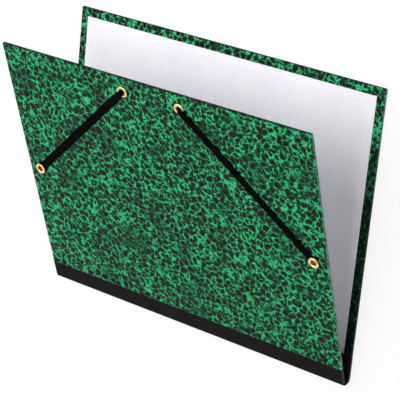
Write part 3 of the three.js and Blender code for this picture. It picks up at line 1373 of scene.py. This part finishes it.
@dataclass
class Eyelet:
    """One brass eyelet: a crowned rim, a tube and a rolled rim inside."""

    layout: Layout
    brass: bpy.types.Material
    node: str
    bore: float = 2.7 * MM
    wall: float = 0.35 * MM
    rim: float = RIM
    clinch: float = 4.1 * MM
    crown: float = CROWN
    clinch_crown: float = CLINCH_CROWN
    bead: float = 0.2 * MM
    clinch_bead: float = 0.12 * MM
    bore_lip: float = 0.6 * MM
    rim_lip: float = 0.1 * MM
    fillet: float = 0.02 * MM
    outer_fall: float = 0.78
    segments: int = 72
    petals: int = 7
    petal_depth: float = 0.22 * MM
    petal_height: float = 0.5 * MM
    clearance: float = 0.2 * MM

    def centre(self) -> Point:
        """The eyelet's x and u on the front cover."""
        low, high = (Vector(v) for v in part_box(self.node))
        return self.layout.front.flat((low + high) / 2)

    def hole(self) -> Hole:
        """The hole that it takes in the sheets."""
        return *self.centre(), self.bore + self.wall + self.clearance

    def seat(self) -> float:
        """Level that the outer rim sits on, under the solid's crown.

        Returns:
            The level.
        """
        solid, front = bpy.data.objects[self.node], self.layout.front
        corners = (solid.matrix_world @ v.co for v in solid.data.vertices)
        return max((c - front.origin).dot(front.outward) for c in corners) - self.crown

    def section(self, seat: float) -> list[Point]:
        """The eyelet's section, closed on itself.

        Args:
            seat: the level that the outer rim sits on.

        Returns:
            The radius and level of its points.
        """
        foot = -2 * GLUE - 2 * PAPER - GLUE
        inner, tube = self.bore, self.bore + self.wall
        points = []
        mid, reach, roll = (inner + self.clinch) / 2, (self.clinch - inner) / 2, foot - self.clinch_bead
        for a in spaced(math.pi, 2 * math.pi, 9):
            points.append((mid + reach * math.cos(a), roll + self.clinch_crown * 0.8 * math.sin(a)))
        points += [(self.clinch, foot), (tube, foot)]
        points += [(tube, seat + self.fillet), (self.rim - self.rim_lip, seat)]
        mid, reach = (inner + self.rim) / 2, (self.rim - inner) / 2
        for a in spaced(0, math.pi, 15):
            fall = self.outer_fall if math.cos(a) > 0 else 1.0
            rise = (self.crown - self.bead) * math.sin(a) ** 0.8 * fall
            points.append((mid + reach * math.cos(a), seat + self.bead + rise))
        points.append((inner, seat - self.bore_lip))
        return points

    def make(self) -> bpy.types.Object:
        """Makes the eyelet.

        Returns:
            The eyelet.
        """
        fab = Fabricator(self.node.replace("eyelet", "brass_eyelet"))
        x0, u0 = self.centre()
        seat = self.seat()
        section = self.section(seat)
        petal_top = min(n for _, n in section) + self.petal_height
        rows, places = [], []
        for k in range(self.segments):
            a = 2 * math.pi * k / self.segments
            petal = self.petal_depth * max(math.cos(self.petals * a), -0.4)
            row = []
            for radius, n in section:
                rolled = n < petal_top and radius > self.bore + self.wall
                reach = radius + (petal if rolled else 0)
                row.append(self.layout.front.at(x0 + reach * math.cos(a), u0 + reach * math.sin(a), n))
            rows.append(row)
            places.append([(k / self.segments, n - seat) for _, n in section])
        rows.append(rows[0])
        places.append(places[0])
        fab.grid(rows, places, closed=True)
        piece = fab.finish()
        dress(piece, self.brass, self.node, Body.FRONT)
        return piece


@dataclass
class Elastic:
    """The flat elastic through its four eyelets."""

    layout: Layout
    woven: bpy.types.Material
    top_eyelet: Point
    side_eyelet: Point
    width: float = 7.5 * MM
    thickness: float = 0.9 * MM
    tail: float = 4.4 * MM
    tail_width: float = 0.62
    clearance: float = 0.35 * MM
    throat_width: float = 4.2 * MM
    throat_thickness: float = 1.4 * MM
    hole: float = 3.2 * MM
    outline_points: int = 32
    edge_roundness: float = 0.35
    face_roundness: float = 0.55
    hollow: float = 0.14
    rims_to_lie: float = 2.5
    spacing: float = 1.6 * MM
    tightness: float = 0.8

    def half_route(self) -> list[RoutePoint]:
        """The route from the middle of the inside run to the right tail.

        Returns:
            Stations in the cover's flat layout, with the elastic's width and thickness there.
        """
        (tx, tu), (sx, su) = self.top_eyelet, self.side_eyelet
        ahead = Vector((sx - tx, su - tu))
        length = ahead.length
        ahead.normalize()
        face, lining = self.layout.outer_face, -2 * GLUE - 2 * PAPER
        flat = (self.width, self.thickness)
        squeezed = (self.throat_width, self.throat_thickness)
        between = tuple((a + b) / 2 for a, b in zip(flat, squeezed))
        outer_rim = face + GLUE + CROWN + self.clearance
        inner_rim = lining - GLUE - CLINCH_CROWN - self.clearance
        outer_lie = face + self.clearance + self.thickness / 2
        inner_lie = lining - self.clearance - self.thickness / 2
        bend, lie = self.throat_thickness * 0.8, RIM * self.rims_to_lie
        inside = [
            (tx, inner_lie, flat),
            (lie, inner_lie, flat),
            (RIM, inner_rim - between[1] / 2, between),
            (bend, inner_rim - self.throat_thickness / 2, squeezed),
            (0, lining, squeezed),
        ]
        outside = [
            (0, face, squeezed),
            (bend, outer_rim + self.throat_thickness / 2, squeezed),
            (RIM, outer_rim + between[1] / 2, between),
            (lie, outer_lie, flat),
            (length / 2, outer_lie, flat),
            (length - RIM * 2, outer_lie, flat),
            (length + self.tail * 0.55, outer_lie, flat),
            (length + self.tail, outer_lie, (self.width * self.tail_width, self.thickness)),
        ]
        route = [(Vector((tx - back, tu, n)), *size) for back, n, size in inside]
        route += [(Vector((tx + ahead.x * s, tu + ahead.y * s, n)), *size) for s, n, size in outside]
        return route

    def smooth(self, stations: list[RoutePoint]) -> list[RoutePoint]:
        """Runs a smooth curve through stations.

        Args:
            stations: points with widths and thicknesses.

        Returns:
            The finer stations.
        """
        fine = []
        last = len(stations) - 1
        for i in range(last):
            p1, p2 = stations[i], stations[i + 1]
            p0, p3 = stations[max(i - 1, 0)], stations[min(i + 2, last)]
            gap = (p2[0] - p1[0]).length
            before, after = max((p1[0] - p0[0]).length, 1e-6), max((p3[0] - p2[0]).length, 1e-6)
            m1 = (p2[0] - p0[0]) * (gap / (gap + before))
            m2 = (p3[0] - p1[0]) * (gap / (gap + after))
            count = max(int(gap / self.spacing), 3)
            for k in range(count):
                t = k / count
                from_start, from_end = 2 * t ** 3 - 3 * t ** 2 + 1, -2 * t ** 3 + 3 * t ** 2
                leaving, arriving = t ** 3 - 2 * t ** 2 + t, t ** 3 - t ** 2
                point = p1[0] * from_start + m1 * leaving * self.tightness
                point = point + p2[0] * from_end + m2 * arriving * self.tightness
                ease = eased(t, 0, 1)
                fine.append((point, p1[1] + (p2[1] - p1[1]) * ease, p1[2] + (p2[2] - p1[2]) * ease))
        fine.append(stations[-1])
        return fine

    def outline(self, width: float, thickness: float) -> list[Point]:
        """Section of the band: flat faces, round edges and a shallow hollow along its middle.

        Args:
            width: the section's width.
            thickness: its thickness.

        Returns:
            Its points, across and up.
        """
        points = []
        for k in range(self.outline_points):
            a = 2 * math.pi * k / self.outline_points
            c, s = math.cos(a), math.sin(a)
            w = math.copysign(abs(c) ** self.edge_roundness, c)
            t = math.copysign(abs(s) ** self.face_roundness, s) * (1 - self.hollow * (1 - w * w))
            points.append((w * width / 2, t * thickness / 2))
        return points

    def make(self) -> bpy.types.Object:
        """Makes the elastic.

        Returns:
            The elastic.
        """
        fab = Fabricator("woven_elastic")
        half = self.half_route()
        mirrored = [(Vector((-p.x, p.y, p.z)), w, t) for p, w, t in reversed(half[1:])]
        stations = self.smooth(mirrored + half)
        rows, places = [], []
        run = 0.0
        across = Vector((0, 1, 0))
        for i, (point, width, thickness) in enumerate(stations):
            before, after = stations[max(i - 1, 0)][0], stations[min(i + 1, len(stations) - 1)][0]
            run += (point - before).length
            tangent = (after - before).normalized()
            level = Vector((0, 0, 1)).cross(tangent)
            if level.length > 0.5:
                across = level.normalized()
            side = (across - tangent * across.dot(tangent)).normalized()
            face = tangent.cross(side).normalized()
            outline = self.outline(width, thickness)
            row = [point + side * w + face * t for w, t in outline]
            rows.append([self.layout.front.at(p.x, p.y, p.z) for p in row])
            places.append([(run, w * self.width / width) for w, _ in outline])
        fab.grid(rows, places, closed=True)
        fab.cap(rows[0])
        fab.cap(rows[-1][::-1])
        piece = fab.finish()
        sx, su = self.side_eyelet
        punch(piece, self.layout.front, [(-sx, su, self.hole), (sx, su, self.hole)])
        dress(piece, self.woven, "elastic", Body.FRONT)
        return piece


@dataclass(frozen=True)
class Lamp:
    """A soft square lamp, with its side in metres and its power in watts."""

    name: str
    place: Triple
    aim: Triple
    size: float
    power: float

    def hang(self) -> None:
        """Adds the lamp."""
        data = bpy.data.lights.new(self.name, "AREA")
        data.shape = "SQUARE"
        data.size = self.size
        data.energy = self.power
        lamp = bpy.data.objects.new(self.name, data)
        bpy.context.scene.collection.objects.link(lamp)
        lamp.location = self.place
        lamp.rotation_euler = (Vector(self.aim) - Vector(self.place)).to_track_quat("-Z", "Y").to_euler()


@dataclass(frozen=True)
class Studio:
    """Camera, lamps and a plain white floor."""

    camera_place: Triple = (0.899, 0.5033, 1.2577)
    camera_aim: Triple = (0.0358, 0.0133, 0.0672)
    camera_up: Triple = (-0.26522, 0.94399, -0.19624)
    focal_pixels: float = 1828.2
    frame_pixels: float = 400.0
    sensor: float = 36.0
    sight: float = 50.0
    sky: float = 0.3
    floor_size: float = 5.0
    floor_matt: Colour = (0.93, 0.93, 0.93)
    least_glow: float = 0.82
    fade_start: float = 0.48
    fade_end: float = 1.2
    lamps: tuple[Lamp, ...] = (
        Lamp("overhead", place=(-0.1, 0.42, 1.45), aim=(0.0, 0.03, 0.0), size=1.3, power=19.3),
        Lamp("side", place=(-1.2, 0.1, 1.2), aim=(0.0, 0.0, 0.05), size=1.0, power=5.0),
    )

    def camera(self) -> None:
        """Adds the camera at the photo's angle."""
        data = bpy.data.cameras.new("camera")
        data.sensor_width = self.sensor
        data.lens = self.focal_pixels / self.frame_pixels * self.sensor
        data.clip_end = self.sight
        camera = bpy.data.objects.new("camera", data)
        bpy.context.scene.collection.objects.link(camera)
        place = Vector(self.camera_place)
        backward = (place - Vector(self.camera_aim)).normalized()
        right = Vector(self.camera_up).cross(backward).normalized()
        up = backward.cross(right)
        turn = Matrix((right, up, backward)).transposed().to_4x4()
        camera.matrix_world = Matrix.Translation(place) @ turn
        bpy.context.scene.camera = camera

    def floor(self) -> None:
        """Adds the white floor, which keeps the portfolio's shadow."""
        tree = FinishTree("studio_floor")
        matt = tree.node("ShaderNodeBsdfDiffuse", None, {"Color": self.floor_matt})
        glow = tree.node("ShaderNodeEmission", None, {"Color": WHITE, "Strength": 1.0})
        reach = tree.vector("LENGTH", tree.millimetres())
        away = reach.step(self.fade_start * TO_MM, self.fade_end * TO_MM)
        share = tree.shown() * (self.least_glow + away * (1 - self.least_glow))
        tree.surface(tree.node("ShaderNodeMixShader", None, {0: share, 1: matt, 2: glow}))
        half = self.floor_size / 2
        corners = [(-half, -half, 0), (half, -half, 0), (half, half, 0), (-half, half, 0)]
        data = bpy.data.meshes.new("floor")
        data.from_pydata(corners, [], [(0, 1, 2, 3)])
        floor = bpy.data.objects.new("floor", data)
        floor.data.materials.append(tree.material)
        bpy.context.scene.collection.objects.link(floor)

    def world(self) -> None:
        """Sets an even white sky, which lights the portfolio less than it shows."""
        world = bpy.data.worlds.new("studio")
        tree = NodeTree(world, "ShaderNodeOutputWorld")
        values = {"Value": tree.shown(), "To Min": self.sky}
        strength = tree.node("ShaderNodeMapRange", None, values, "Result")
        tree.surface(tree.node("ShaderNodeBackground", None, {"Color": WHITE, "Strength": strength}))
        bpy.context.scene.world = world

    def build(self) -> None:
        """Sets the whole studio up."""
        bpy.context.scene.view_settings.view_transform = "Standard"
        self.camera()
        self.world()
        self.floor()
        for lamp in self.lamps:
            lamp.hang()


def main() -> None:
    """Builds the portfolio's pieces and the studio round them."""
    logging.basicConfig(level=logging.INFO, format="%(name)s: %(message)s")
    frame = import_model()
    Studio().build()
    layout = Layout.read(frame)
    back_sheet_with_painted_shade = MarbledPaper(layout.back, layout.depth, painted_shade_strength=0.92).make()
    bright_sheet = MarbledPaper(layout.front, layout.depth).make()
    white, cloth = WhiteLining().make(), BookCloth().make()
    brass, woven, board = PressedBrass().make(), WovenElastic().make(), GreyBoard().make()

    eyelets = [
        Eyelet(layout, brass, f"{row}_eyelet_{side}")
        for row in ("top", "side")
        for side in ("left", "right")
    ]
    holes = [eyelet.hole() for eyelet in eyelets]
    for sheets in (
        CoverSheets(layout, layout.back, back_sheet_with_painted_shade, white),
        CoverSheets(layout, layout.front, bright_sheet, white, holes),
    ):
        sheets.paper()
        sheets.lining()
    for eyelet in eyelets:
        eyelet.make()
    _, top_right, _, side_right = eyelets
    Elastic(layout, woven, top_right.centre(), side_right.centre()).make()
    spine = Spine(layout, cloth)
    spine.outer()
    spine.inner()
    for name in ("back_board", "front_board"):
        node = frame["nodes"][name]
        node.data.materials.clear()
        node.data.materials.append(board)


if __name__ == "__main__":
    main()
